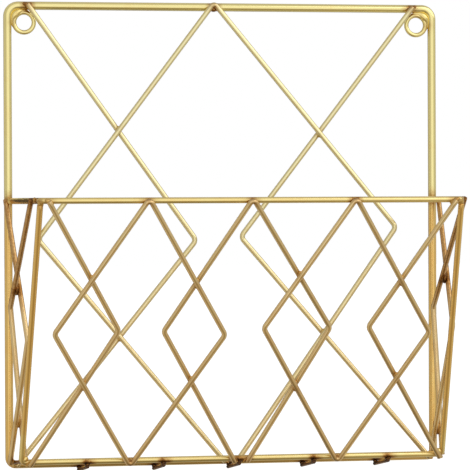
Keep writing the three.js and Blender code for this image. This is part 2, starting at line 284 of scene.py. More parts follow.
@dataclass
class Wire:
    """One round wire, drawn straight and bent over round dies, with its two ends cut or joined."""

    node: str
    corners: list[Corner]
    diameter: float
    slot: Slot
    closed: bool = False
    sides: int = 24
    bend_steps: int = 10
    ring_step: float = 4.0
    cut_round: float = 0.35

    @property
    def radius(self) -> float:
        """Half the wire's thickness."""
        return self.diameter / 2

    def bends(self) -> list[Bend]:
        """The wire's bends, in order."""
        last = len(self.corners) - 1
        found = []
        for index, corner in enumerate(self.corners):
            if not self.closed and index in (0, last):
                continue
            before = self.corners[index - 1].at
            after = self.corners[0 if index == last else index + 1].at
            found.append(Bend.between(before, corner, after))
        return found

    def line(self, bend_points: int = 4) -> list[Vector]:
        """The centre line as points, few on each bend, for finding where wires touch."""
        points = [bend.point(k / bend_points) for bend in self.bends() for k in range(bend_points + 1)]
        if self.closed:
            return points + points[:1]
        return [self.corners[0].at, *points, self.corners[-1].at]

    def frames(self) -> list[tuple[Vector, Vector, Vector]]:
        """Points along the centre line, each with two directions across the wire that don't twist."""
        points = self.line(bend_points=6)
        along = (points[1] - points[0]).normalized()
        side = along.orthogonal().normalized()
        found = []
        for index, point in enumerate(points):
            before, after = points[max(0, index - 1)], points[min(len(points) - 1, index + 1)]
            step = (after - before).normalized()
            side = (along.rotation_difference(step) @ side).normalized()
            along = step
            found.append((point, side, along.cross(side)))
        return found

    def mark_round(self, piece: Object) -> None:
        """Write, at each vertex, where it lies round the wire, for the lines that drawing leaves on it.

        Args:
            piece: the wire's object.
        """
        frames = self.frames()
        layer = piece.data.attributes.new("wire_round", "FLOAT_VECTOR", "POINT")
        for index, vertex in enumerate(piece.data.vertices):
            at = vertex.co / MM
            nearest = None
            for (a, side, rise), (b, _, _) in zip(frames, frames[1:]):
                run = b - a
                share = min(1.0, max(0.0, (at - a).dot(run) / run.length_squared))
                away = at - a - run * share
                if nearest is None or away.length_squared < nearest[0]:
                    nearest = (away.length_squared, away.dot(side), away.dot(rise))
            layer.data[index].vector = (nearest[1], nearest[2], 0.0)

    def model(self) -> Object:
        """Extrude a circle along each straight run and spin it round each bend.

        Returns:
            The wire's object, with its place in its mesh.
        """
        bends = self.bends()
        start = bends[-1].end if self.closed else self.corners[0].at
        first = bends[0].start if bends else self.corners[-1].at
        aim = (first - start).normalized()
        bpy.ops.object.select_all(action="DESELECT")
        bpy.ops.mesh.primitive_circle_add(
            vertices=self.sides, radius=self.radius * MM, location=start * MM,
            rotation=aim.to_track_quat("Z", "Y").to_euler(),
        )
        piece = open_mesh(f"{self.node}_round")
        at = start
        for bend in bends:
            self.run(bend.start - at)
            bpy.ops.mesh.spin(
                steps=self.bend_steps, angle=-bend.turn, center=bend.centre * MM, axis=bend.axis,
            )
            at = bend.end
        if self.closed:
            self.join_ends(piece, start, aim)
        else:
            self.run(self.corners[-1].at - at)
            self.cap(piece, start, aim)
            self.cap(piece, self.corners[-1].at, (self.corners[-1].at - at).normalized())
        close_mesh()
        return piece

    def run(self, along: Vector) -> None:
        """Extrude the selected ring along a straight run, in short steps.

        Args:
            along: the run.
        """
        steps = max(1, round(along.length / self.ring_step))
        for _ in range(steps):
            bpy.ops.mesh.extrude_region_move(TRANSFORM_OT_translate={"value": along * MM / steps})

    def join_ends(self, piece: Object, start: Vector, aim: Vector) -> None:
        """Merge the last ring with the first one, by less than half the distance between two vertices.

        Args:
            piece: the wire's object, in edit mode.
            start: the first ring's centre.
            aim: the wire's direction there.
        """
        select_ring(piece.data, start * MM, aim, self.radius * MM)
        bpy.ops.mesh.remove_doubles(threshold=self.radius * MM * 0.5 * math.sin(math.pi / self.sides))

    def cap(self, piece: Object, at: Vector, aim: Vector) -> None:
        """Close a cut end with a flat face and round its edge.

        Args:
            piece: the wire's object, in edit mode.
            at: the end's centre.
            aim: the direction square to the cut.
        """
        select_ring(piece.data, at * MM, aim, self.radius * MM)
        bpy.ops.mesh.edge_face_add()
        bpy.ops.mesh.bevel(offset=self.cut_round * MM, segments=2, affect="EDGES")


@dataclass
class Ring(Wire):
    """A small closed loop, coiled round a pin."""

    centre: Vector = field(default_factory=Vector)
    hole: float = 5.2
    turns: int = 40
    seam: float = 0.01

    @property
    def reach(self) -> float:
        """From the loop's middle to its centre line."""
        return self.hole + self.radius

    def line(self, bend_points: int = 4) -> list[Vector]:
        """The loop's centre line as points, one for each of its rings."""
        reach = self.reach
        angles = [2 * math.pi * k / self.turns for k in range(self.turns + 1)]
        return [self.centre + ACROSS * reach * math.cos(a) + UPWARD * reach * math.sin(a) for a in angles]

    def model(self) -> Object:
        """Spin a circle once round the loop's middle.

        Returns:
            The loop's object, with its place in its mesh.
        """
        bpy.ops.object.select_all(action="DESELECT")
        start = (self.centre + ACROSS * self.reach) * MM
        bpy.ops.mesh.primitive_circle_add(vertices=self.sides, radius=self.radius * MM, location=start)
        piece = open_mesh(f"{self.node}_round")
        bpy.ops.mesh.spin(steps=self.turns, angle=2 * math.pi, center=self.centre * MM, axis=TO_WALL)
        bpy.ops.mesh.select_all(action="SELECT")
        bpy.ops.mesh.remove_doubles(threshold=self.seam * MM)
        close_mesh()
        return piece


# Sizes that the sub-assemblies share


@dataclass(frozen=True)
class RackSizes:
    """The rack's driving sizes. Heights stand over the bottom bar's centre line."""

    rack_width: float = 300
    frame_height: float = 313
    rim_height: float = 176.5
    basket_depth: float = 96
    floor_depth: float = 33
    front_bar_rise: float = 3.7
    frame_wire: float = 5.5
    rim_wire: float = 4
    front_wire: float = 4
    lattice_wire: float = 3.5
    floor_wire: float = 2.5
    loop_wire: float = 3
    weld_gap: float = 0.3
    loop_hole: float = 5.2
    rim_back_inset: float = 1
    rim_corner_inset: float = 6.7
    elbow_inset: float = 3.2
    rim_corner_bend: float = 1.6
    elbow_bend: float = 0.8
    frame_foot_bend: float = 1.5
    frame_top_bend: float = 4.5
    lattice_bend: float = 2.4
    tip_bend: float = 0.5
    end_overhang: float = 1
    tip_overhang: float = 2.6
    thick_sides: int = 12
    thin_sides: int = 8

    @property
    def half_width(self) -> float:
        """From the rack's middle to an upright's centre line."""
        return (self.rack_width - self.frame_wire) / 2

    @property
    def top_bar(self) -> float:
        """The top bar's centre line."""
        return self.frame_height - self.frame_wire

    @property
    def frame_y(self) -> float:
        """The back frame's plane."""
        return -self.frame_wire / 2

    @property
    def rim_y(self) -> float:
        """The rim's front bar."""
        return self.frame_y - self.basket_depth

    @property
    def front_bar_y(self) -> float:
        """The bottom front bar."""
        return self.frame_y - self.floor_depth

    @property
    def rim_corner_x(self) -> float:
        """From the middle to the rim's corner."""
        return self.half_width - self.rim_corner_inset

    @property
    def elbow_x(self) -> float:
        """From the middle to the front elbow."""
        return self.half_width - self.elbow_inset

    @property
    def loop_reach(self) -> float:
        """From an upright's centre line to the middle of a hanging loop."""
        return self.frame_wire / 2 + self.weld_gap + self.loop_wire + self.loop_hole

    @property
    def lattice_spacing(self) -> float:
        """From centre line to centre line where two lattice wires pass."""
        return self.lattice_wire + self.weld_gap

    @property
    def origin_rise(self) -> float:
        """The row's origin, midway between the loops, over the bottom bar."""
        return self.top_bar - self.loop_reach

    @staticmethod
    def corner_reach(radius: float, sides: int) -> float:
        """How far the corners of a solid's faceted section stand out."""
        return radius / math.cos(math.pi / sides)

    def place(self, x: float, y: float, height: float) -> Vector:
        """A point of the row's frame from its height over the bottom bar."""
        return Vector((x, y, height - self.origin_rise))


@dataclass(frozen=True)
class Panel:
    """A flat side of the rack that carries a lattice: its foot, the way up it and the way out of it."""

    foot: Vector
    up: Vector
    out: Vector
    length: float

    def point(self, x: float, up: float, out: float) -> Vector:
        """The point across, up and out of the panel."""
        return self.foot + ACROSS * x + self.up * up + self.out * out

    @classmethod
    def back(cls, sizes: RackSizes) -> "Panel":
        """The back frame's front."""
        return cls(sizes.place(0, sizes.frame_y, 0), UPWARD, -TO_WALL, sizes.top_bar)

    @classmethod
    def front(cls, sizes: RackSizes) -> "Panel":
        """The basket's front face, which leans out."""
        foot = sizes.place(0, sizes.front_bar_y, sizes.front_bar_rise)
        rise = sizes.place(0, sizes.rim_y, sizes.rim_height) - foot
        up = rise.normalized()
        return cls(foot, up, Vector((0, -up.z, up.y)), rise.length)


# Sub-assemblies


@dataclass
class SubAssembly:
    """A group of wires that are modelled and named together."""

    sizes: RackSizes

    def wires(self) -> list[Wire]:
        """The group's wires."""
        raise NotImplementedError


@dataclass
class BackFrame(SubAssembly):
    """The rectangle of thick wire that lies flat on the wall, with its two hanging loops."""

    sides: int = 32

    def wires(self) -> list[Wire]:
        """The frame and the loops."""
        s = self.sizes
        radius = s.frame_wire / 2
        foot, top = s.frame_foot_bend + radius, s.frame_top_bend + radius
        corners = [
            Corner(s.place(-s.half_width, s.frame_y, 0), foot),
            Corner(s.place(s.half_width, s.frame_y, 0), foot),
            Corner(s.place(s.half_width, s.frame_y, s.top_bar), top),
            Corner(s.place(-s.half_width, s.frame_y, s.top_bar), top),
        ]
        made: list[Wire] = [
            Wire("back_frame", corners, s.frame_wire, Slot.FRAME, closed=True, sides=self.sides),
        ]
        for side in Side:
            centre = s.place(side.value * (s.half_width - s.loop_reach), s.frame_y, s.origin_rise)
            made.append(Ring(f"hanging_loop_{side.word}", [], s.loop_wire, Slot.FRAME, closed=True,
                             centre=centre, hole=s.loop_hole))
        return made


@dataclass
class BasketFrame(SubAssembly):
    """The rim with its two arms, and the wire that makes the front edges and the bottom front bar."""

    sides: int = 28

    def arm_angle(self) -> float:
        """The angle by which the rim's arms lean in."""
        s = self.sizes
        return math.atan((s.rim_corner_inset - s.rim_back_inset) / s.basket_depth)

    def wires(self) -> list[Wire]:
        """The rim and the front wire."""
        return [self.rim(), self.front()]

    def rim(self) -> Wire:
        """The rim: an arm, the bar across the front and the other arm."""
        s = self.sizes
        radius = s.rim_wire / 2
        back_x = s.half_width - s.rim_back_inset
        back_y = s.frame_y - s.corner_reach(s.frame_wire / 2, s.thick_sides) - s.weld_gap
        back_y -= radius * math.tan(self.arm_angle())
        bend = s.rim_corner_bend + radius
        corners = [
            Corner(s.place(-back_x, back_y, s.rim_height)),
            Corner(s.place(-s.rim_corner_x, s.rim_y, s.rim_height), bend),
            Corner(s.place(s.rim_corner_x, s.rim_y, s.rim_height), bend),
            Corner(s.place(back_x, back_y, s.rim_height)),
        ]
        return Wire("basket_rim", corners, s.rim_wire, Slot.FRAME, sides=self.sides)

    def front(self) -> Wire:
        """The front wire: an edge, an elbow, the bottom bar, an elbow and the other edge."""
        s = self.sizes
        face = Panel.front(s)
        radius = s.front_wire / 2
        rim_reach = s.corner_reach(s.rim_wire / 2, s.thick_sides) * face.up.z
        edge_reach = s.corner_reach(radius, s.thick_sides) * -face.up.y
        top = face.length - rim_reach - edge_reach - s.weld_gap
        bend = s.elbow_bend + radius
        corners = [
            Corner(face.point(-s.rim_corner_x, top, 0)),
            Corner(face.point(-s.elbow_x, 0, 0), bend),
            Corner(face.point(s.elbow_x, 0, 0), bend),
            Corner(face.point(s.rim_corner_x, top, 0)),
        ]
        return Wire("front_frame", corners, s.front_wire, Slot.FRAME, sides=self.sides)


@dataclass(frozen=True)
class DiamondWire:
    """One hand-bent wire of a lattice, and how far it strays from the even pattern.

    A side bend is given across and up. A wire with one side bend is half a diamond, one with a foot opening
    is open at the foot, and any other is closed.
    """

    node: str
    top: float
    foot: float
    left: tuple[float, float] | None = None
    right: tuple[float, float] | None = None
    raised: bool = False
    foot_opening: float = 0.0


@dataclass
class DiamondLattice(SubAssembly):
    """A row of diamonds across a panel, with half a diamond at each end."""

    panel: Panel
    half_span: float
    bend_setback: float
    bend_height: float
    lap: float
    shift: float
    diamonds: list[DiamondWire]

    def wires(self) -> list[Wire]:
        """The lattice's wires, from left to right."""
        last = len(self.diamonds) - 1
        pitch = 2 * self.half_span / last
        return [
            self.wire(diamond, (index - last / 2) * pitch + self.shift, pitch)
            for index, diamond in enumerate(self.diamonds)
        ]

    def wire(self, diamond: DiamondWire, tip_x: float, pitch: float) -> Wire:
        """One wire of the row.

        Args:
            diamond: the wire's form and strays.
            tip_x: where the even pattern has its tips.
            pitch: from one tip to the next.

        Returns:
            The wire.
        """
        s = self.sizes
        reach = pitch - self.bend_setback
        push = s.lattice_spacing / 2 / (pitch / 2 / reach)
        radius = s.lattice_wire / 2
        out = self.lap + (push if diamond.raised else -push)

        def side_bend(towards: int, stray: tuple[float, float]) -> Corner:
            """The bend at one side of the diamond."""
            at = self.panel.point(tip_x + towards * reach + stray[0], self.bend_height + stray[1], out)
            return Corner(at, s.lattice_bend + radius)

        def tip(x: float, up: float) -> Corner:
            """The bend at the diamond's top or foot."""
            return Corner(self.panel.point(tip_x + x, up, self.lap), s.tip_bend + radius)

        def end(x: float, up: float) -> Corner:
            """A cut end."""
            return Corner(self.panel.point(tip_x + x, up, self.lap))

        top_bar = self.panel.length
        if diamond.left is None or diamond.right is None:
            middle = side_bend(1, diamond.right) if diamond.right else side_bend(-1, diamond.left)
            corners = [end(diamond.top, top_bar + s.end_overhang), middle, end(diamond.foot, -s.end_overhang)]
            return Wire(diamond.node, corners, s.lattice_wire, Slot.LATTICE)
        top = tip(diamond.top, top_bar + s.tip_overhang)
        over = [side_bend(-1, diamond.left), top, side_bend(1, diamond.right)]
        if diamond.foot_opening:
            ends = [end(diamond.foot + k * diamond.foot_opening / 2, -s.end_overhang) for k in (-1, 1)]
            return Wire(diamond.node, [ends[0], *over, ends[1]], s.lattice_wire, Slot.LATTICE)
        foot = tip(diamond.foot, -s.tip_overhang)
        return Wire(diamond.node, [*over, foot], s.lattice_wire, Slot.LATTICE, closed=True)


def back_lattice(sizes: RackSizes, end_inset: float = 5.5) -> DiamondLattice:
    """The lattice that fills the back frame, with its ends a little inside the uprights."""
    return DiamondLattice(
        sizes, Panel.back(sizes), half_span=sizes.half_width - sizes.frame_wire / 2 - end_inset,
        bend_setback=15, bend_height=152.5, shift=-1,
        lap=sizes.frame_wire / 2 + sizes.weld_gap + sizes.lattice_wire / 2,
        diamonds=[
            DiamondWire("back_half_diamond_left", 5.6, -3.1, right=(-3, -3)),
            DiamondWire("back_diamond", -5.8, 4.8, (-3.6, -1.7), (-3.7, 5.3), raised=True, foot_opening=7.9),
            DiamondWire("back_half_diamond_right", -5.2, 5.5, left=(-2.2, -0.9)),
        ],
    )


def front_lattice(sizes: RackSizes, end_inset: float = 2.2) -> DiamondLattice:
    """The lattice on the basket's front, with its ends a little inside the rim's corners."""
    thickest = max(sizes.rim_wire, sizes.front_wire) / 2
    return DiamondLattice(
        sizes, Panel.front(sizes), half_span=sizes.rim_corner_x - end_inset,
        bend_setback=12.4, bend_height=93.6, shift=-1,
        lap=thickest + sizes.weld_gap + sizes.lattice_wire / 2,
        diamonds=[
            DiamondWire("front_half_diamond_left", 3.7, 0.4, right=(-1.7, 0)),
            DiamondWire("front_diamond_1", 0.2, -1.6, (-1.1, 0.5), (-0.8, -1.3), raised=True),
            DiamondWire("front_diamond_2", -0.4, 4.7, (3.4, -0.9), (2.3, 0.5), foot_opening=8.4),
            DiamondWire("front_diamond_3", -0.3, 1.9, (0, 2.9), (0, -1.1), raised=True),
            DiamondWire("front_half_diamond_right", -1.4, 4.4, left=(3.8, 0.6)),
        ],
    )


@dataclass
class Floor(SubAssembly):
    """The short wires under the two bottom bars, and the wire that closes the floor at each end."""

    count: int = 5
    end_inset: float = 44.2
    shift: float = 3
    overhang: float = 1.8

    def sill(self) -> tuple[Vector, Vector]:
        """The right-hand end wire's two ends, heights over the bottom bar."""
        s = self.sizes
        cut = 1 - math.cos(math.radians(45))
        corner_middle = (s.frame_foot_bend + s.frame_wire / 2) * cut
        elbow_middle = (s.elbow_bend + s.front_wire / 2) * cut
        back_depth = s.corner_reach(s.frame_wire / 2, s.thick_sides) + s.weld_gap
        back = s.place(s.half_width - corner_middle, s.frame_y - back_depth, corner_middle)
        elbow = Panel.front(s).point(s.elbow_x - elbow_middle, elbow_middle, 0)
        along = (elbow - back).normalized()
        return back, elbow - along * (s.corner_reach(s.front_wire / 2, s.thick_sides) + s.weld_gap)

    def sill_point(self, depth: float) -> Vector:
        """The right-hand end wire's centre line at some depth in front of the back frame."""
        back, front = self.sill()
        along = (front - back).normalized()
        return back + along * ((self.sizes.frame_y - depth - back.y) / along.y)

    def wires(self) -> list[Wire]:
        """The floor wires, then the two end wires."""
        s = self.sizes
        lap = s.weld_gap + s.corner_reach(s.floor_wire / 2, s.thin_sides)
        back_z = -s.corner_reach(s.frame_wire / 2, s.thick_sides) - lap
        front_z = s.front_bar_rise - s.corner_reach(s.front_wire / 2, s.thick_sides) - lap
        slope = (back_z - front_z) / s.floor_depth
        pitch = 2 * (s.half_width - self.end_inset) / (self.count - 1)
        made = []
        for index in range(self.count):
            x = (index - (self.count - 1) / 2) * pitch + self.shift
            corners = [
                Corner(s.place(x, s.frame_y + self.overhang, back_z + slope * self.overhang)),
                Corner(s.place(x, s.front_bar_y - self.overhang, front_z - slope * self.overhang)),
            ]
            made.append(Wire(f"floor_wire_{index + 1}", corners, s.floor_wire, Slot.LATTICE))
        for side in Side:
            corners = [Corner(mirrored(side, p)) for p in self.sill()]
            made.append(Wire(f"floor_end_wire_{side.word}", corners, s.floor_wire, Slot.LATTICE))
        return made


def mirrored(side: Side, point: Vector) -> Vector:
    """The same point on the left or on the right."""
    return Vector((side.value * point.x, point.y, point.z))


@dataclass(frozen=True)
class SideForm:
    """The two chevrons of one side.

    Each bend is given by its setback and its height. The outer chevron's bend stands out from the side.
    """

    rear_bend: tuple[float, float]
    fore_bend: tuple[float, float]
    fore_foot: float
    outer: str
    outer_offset: float


@dataclass
class SideLattice(SubAssembly):
    """The two crossed chevrons in one side of the basket."""

    side: Side
    form: SideForm
    rear_top: float = 8.5
    fore_top: float = 6.5
    rear_foot: float = 10.8
    rounds: int = 12

    def height_share(self, height: float) -> float:
        """How far up a height is, from the bottom front bar to the rim."""
        s = self.sizes
        return (height - s.front_bar_rise) / (s.rim_height - s.front_bar_rise)

    def face_depth(self, height: float) -> float:
        """Depth of the front face at some height."""
        s = self.sizes
        return s.floor_depth + (s.basket_depth - s.floor_depth) * self.height_share(height)

    def side_x(self, depth: float, height: float) -> float:
        """From the rack's middle to the side's surface."""
        s = self.sizes
        inset = s.elbow_inset + (s.rim_corner_inset - s.elbow_inset) * self.height_share(height)
        return s.half_width - inset * depth / self.face_depth(height)

    def clearance(self, first: list[Vector], second: list[Vector]) -> float:
        """The lateral distance at which two runs clear each other."""
        s = self.sizes
        normal = (first[1] - first[0]).cross(second[1] - second[0]).normalized()
        return (2 * s.corner_reach(s.lattice_wire / 2, s.thin_sides) + s.weld_gap) / abs(normal.x)

    @staticmethod
    def crossing(first: list[Vector], second: list[Vector]) -> tuple[float, float]:
        """The share of each run at which the two cross, seen from the side."""
        run, other, between = first[1] - first[0], second[1] - second[0], second[0] - first[0]
        turn = run.y * other.z - run.z * other.y
        return (
            (between.y * other.z - between.z * other.y) / turn,
            (between.y * run.z - between.z * run.y) / turn,
        )

    def wires(self) -> list[Wire]:
        """The rear chevron, then the fore one."""
        s = self.sizes
        floor = Floor(s)
        lean = (s.rim_corner_inset - s.rim_back_inset) / s.basket_depth
        arm_lap = s.rim_wire / 2 + s.weld_gap + s.lattice_wire / 2
        sill_lap = s.floor_wire / 2 + s.weld_gap + s.lattice_wire / 2

        def top(depth: float) -> Vector:
            """The top end, outside the rim's arm."""
            x = s.half_width - s.rim_back_inset - depth * lean + arm_lap
            return s.place(x, s.frame_y - depth, s.rim_height + s.end_overhang)

        def bend(depth: float, height: float) -> Vector:
            """The bend, standing out from the side."""
            return s.place(self.side_x(depth, height) + self.form.outer_offset, s.frame_y - depth, height)

        def foot(depth: float) -> Vector:
            """The foot, outside the floor's end wire."""
            return floor.sill_point(depth) + Vector((sill_lap, 0, -s.end_overhang))

        rear_setback, rear_height = self.form.rear_bend
        fore_setback, fore_height = self.form.fore_bend
        rear = [top(s.basket_depth - self.rear_top), bend(rear_setback, rear_height),
                foot(s.floor_depth - self.rear_foot)]
        fore = [top(self.fore_top), bend(self.face_depth(fore_height) - fore_setback, fore_height),
                foot(self.form.fore_foot)]
        outer, inner = (rear, fore) if self.form.outer == "rear" else (fore, rear)
        inner_foot = outer[2].x - 2 * sill_lap
        for _ in range(self.rounds):
            at_outer, at_inner = self.crossing(outer[:2], inner[:2])
            outer_x = outer[0].x + (outer[1].x - outer[0].x) * at_outer
            inner_x = outer_x - self.clearance(outer[:2], inner[:2])
            inner[1].x = inner[0].x + (inner_x - inner[0].x) / at_inner
            at_outer, at_inner = self.crossing(outer[1:], inner[1:])
            passed = inner[1].x + (inner[2].x - inner[1].x) * at_inner
            clear = passed - self.clearance(outer[1:], inner[1:])
            outer[2].x = min(inner_foot, outer[1].x + (clear - outer[1].x) / at_outer)
        made = []
        for word, (a, b, c) in (("rear", rear), ("fore", fore)):
            corners = [Corner(mirrored(self.side, a)),
                       Corner(mirrored(self.side, b), s.lattice_bend + s.lattice_wire / 2),
                       Corner(mirrored(self.side, c))]
            made.append(Wire(f"side_chevron_{self.side.word}_{word}", corners, s.lattice_wire, Slot.LATTICE))
        return made


# Welds


@dataclass(frozen=True)
class Contact:
    """A place where two wires touch: the point between them and the directions there."""

    at: Vector
    across: Vector
    first_along: Vector
    second_along: Vector
    first: Wire
    second: Wire
    first_end: bool
    second_end: bool


def closest(a: Vector, b: Vector, c: Vector, d: Vector, parallel: float = 1e-9) -> tuple[float, float, float]:
    """The closest approach of two straight runs.

    Args:
        a: start of the first run.
        b: end of the first run.
        c: start of the second run.
        d: end of the second run.
        parallel: the square of the sine below which two runs count as parallel.

    Returns:
        The distance and the share of each run.
    """
    u, v, w = b - a, d - c, a - c
    uu, uv, vv, uw, vw = u.dot(u), u.dot(v), v.dot(v), u.dot(w), v.dot(w)
    spread = uu * vv - uv * uv
    s = min(1.0, max(0.0, (uv * vw - vv * uw) / spread)) if spread > parallel * uu * vv else 0.5
    t = min(1.0, max(0.0, (uv * s + vw) / vv))
    s = min(1.0, max(0.0, (uv * t - uw) / uu))
    return (a + u * s - c - v * t).length, s, t


def find_contacts(wires: list[Wire], slack: float = 0.75, apart: float = 5.0) -> list[Contact]:
    """Find each place where two wires lie against each other.

    Args:
        wires: all the wires.
        slack: how far apart two surfaces may be and still be welded.
        apart: the least distance between two welds of the same two wires.

    Returns:
        The contacts.
    """
    lines = {w.node: w.line() for w in wires}
    found: list[Contact] = []
    for index, first in enumerate(wires):
        for second in wires[index + 1:]:
            limit = first.radius + second.radius + slack
            near = []
            for a, b in zip(lines[first.node], lines[first.node][1:]):
                for c, d in zip(lines[second.node], lines[second.node][1:]):
                    gap, s, t = closest(a, b, c, d)
                    if gap < limit:
                        near.append((gap, a + (b - a) * s, c + (d - c) * t, (b - a).normalized(),
                                     (d - c).normalized()))

            # The nearest places first, rounded so that the order doesn't hang on a last digit
            taken: list[Vector] = []
            for _, p, q, along, other in sorted(near, key=lambda item: round(item[0], 3)):
                middle = p + (q - p) * (first.radius / (first.radius + second.radius))
                if any((middle - t).length < apart for t in taken):
                    continue
                taken.append(middle)
                found.append(Contact(
                    middle, (q - p).normalized(), along, other, first, second,
                    is_end(first, p), is_end(second, q),
                ))
    return found


def is_end(wire: Wire, at: Vector, slack: float = 0.05) -> bool:
    """Whether a point lies on a cut end of a wire."""
    if wire.closed:
        return False
    return min((at - wire.corners[0].at).length, (at - wire.corners[-1].at).length) < slack


class WeldShape(Enum):
    """The forms that a weld takes, with the height and radius of each ring as shares of its own."""

    CROSSING = ((-1.0, 0.3), (-0.8, 0.62), (-0.45, 0.88), (0.0, 1.0), (0.45, 0.88), (0.8, 0.62), (1.0, 0.3))
    PUDDLE = ((-1.0, 0.4), (-0.7, 0.75), (-0.3, 0.95), (0.05, 1.0), (0.4, 0.86), (0.75, 0.6), (1.0, 0.28))
    COLLAR = ((-1.0, 1.03), (-0.5, 1.09), (0.0, 1.1), (0.5, 1.05), (1.0, 0.985))


def chance(at: Vector, weights: tuple[float, float, float] = (12.9898, 4.1414, 78.233),
           spread: float = 43758.5453) -> float:
    """A number from nought to one that belongs to a place, the same on every run."""
    wave = math.sin(at.x * weights[0] + at.y * weights[1] + at.z * weights[2])
    return math.modf(abs(wave) * spread)[0]


def centred(contact: Contact, reach: float = 6.0) -> Contact:
    """Move a contact of a diamond's tip with a bar to the middle of the tip.

    Args:
        contact: where a wire touches another one.
        reach: how far from the tip's corner a contact still belongs to it, in millimetres.

    Returns:
        The moved contact, with both its directions along the bar, or the same one where there is no tip.
    """
    if (contact.first.slot is Slot.LATTICE) == (contact.second.slot is Slot.LATTICE):
        return contact
    tip, along = contact.first, contact.second_along
    if contact.second.slot is Slot.LATTICE:
        tip, along = contact.second, contact.first_along
    for corner in tip.corners:
        if corner.bend and (corner.at - contact.at).length < reach:
            at = contact.at + along * (corner.at - contact.at).dot(along)
            return replace(contact, at=at, first_along=along, second_along=along)
    return contact


def is_tip(contact: Contact, least_cosine: float = 0.99) -> bool:
    """Whether a bent lattice wire lies along a bar there, as a diamond's tip does."""
    return (Slot.LATTICE in (contact.first.slot, contact.second.slot)
            and abs(contact.first_along.dot(contact.second_along)) > least_cosine)


def is_top(contact: Contact, lowest: float = -5.0) -> bool:
    """Whether a weld lies on the back frame's top bar, by its height in the row's frame."""
    return contact.at.z > lowest


def is_back(contact: Contact, foremost: float = -10.0) -> bool:
    """Whether a weld lies in the back frame, by its depth in the row's frame."""
    return contact.at.y > foremost


class Scorch(Enum):
    """How dark heat and painted shade leave each kind of weld: the least of it, and how much more it may be
    by chance.

    A half is amber, and one or more is dark brown. Under the floor wires and the top bar the dark is painted
    shade of the gaps there, and at crossings, tips and rim ends it is partly painted contact shadow.
    """

    ELBOW = (0.0, 0.0)
    LOOP = (0.3, 0.0)
    # Painted shade of the gaps under the bottom bars
    FLOOR = (1.3, 0.0)
    # Painted shade of the gap under the top bar
    TOP_BAR = (0.85, 0.0)
    RIM_END_OR_TIP = (0.45, 0.45)
    BACK = (0.15, 0.2)
    FRONT = (0.3, 0.35)

    @classmethod
    def kind(cls, contact: Contact) -> "Scorch":
        """The kind of weld at a contact."""
        nodes = contact.first.node + contact.second.node
        if contact.first is contact.second:
            return cls.ELBOW
        if "hanging_loop" in nodes:
            return cls.LOOP
        if "floor_wire" in nodes:
            return cls.FLOOR
        if is_top(contact):
            return cls.TOP_BAR
        if "back_frame" in nodes and "rim" in nodes or is_tip(contact):
            return cls.RIM_END_OR_TIP
        return cls.BACK if is_back(contact) else cls.FRONT


def scorch(contact: Contact) -> float:
    """How dark heat and painted shade leave the weld at a contact."""
    least, more = Scorch.kind(contact).value
    return least + more * chance(contact.at)


def tip_web(contact: Contact, below: float = 0.95) -> Contact:
    """A dark lump in the corner inside the tall diamond's tip, next to the top bar: painted shade of the gap
    there.

    Args:
        contact: where the tip touches the bar.
        below: how many of the wire's radii lie between the two.

    Returns:
        The same contact, moved into the corner.
    """
    tip = contact.first if contact.first.slot is Slot.LATTICE else contact.second
    corners = [corner.at for corner in tip.corners]
    index = min(range(len(corners)), key=lambda i: (corners[i] - contact.at).length)
    near = corners[index]
    beside = [corners[(index + step) % len(corners)] for step in (-1, 1)]
    inward = sum(((at - near).normalized() for at in beside), Vector()).normalized()
    return replace(contact, at=contact.at + inward * below * tip.radius)


def elbow_webs(wire: Wire, inward: float = 1.2) -> list[Contact]:
    """The filler inside a wire's tight elbows.

    Args:
        wire: the wire.
        inward: how many of the wire's radii the filler's middle lies inside each corner.

    Returns:
        A contact of the wire with itself at each elbow.
    """
    corners = [corner.at for corner in wire.corners]
    webs = []
    for before, corner, after in zip(corners, corners[1:], corners[2:]):
        first, second = (before - corner).normalized(), (after - corner).normalized()
        at = corner + (first + second).normalized() * inward * wire.radius
        webs.append(Contact(at, first.cross(second).normalized(), first, second, wire, wire, False, False))
    return webs


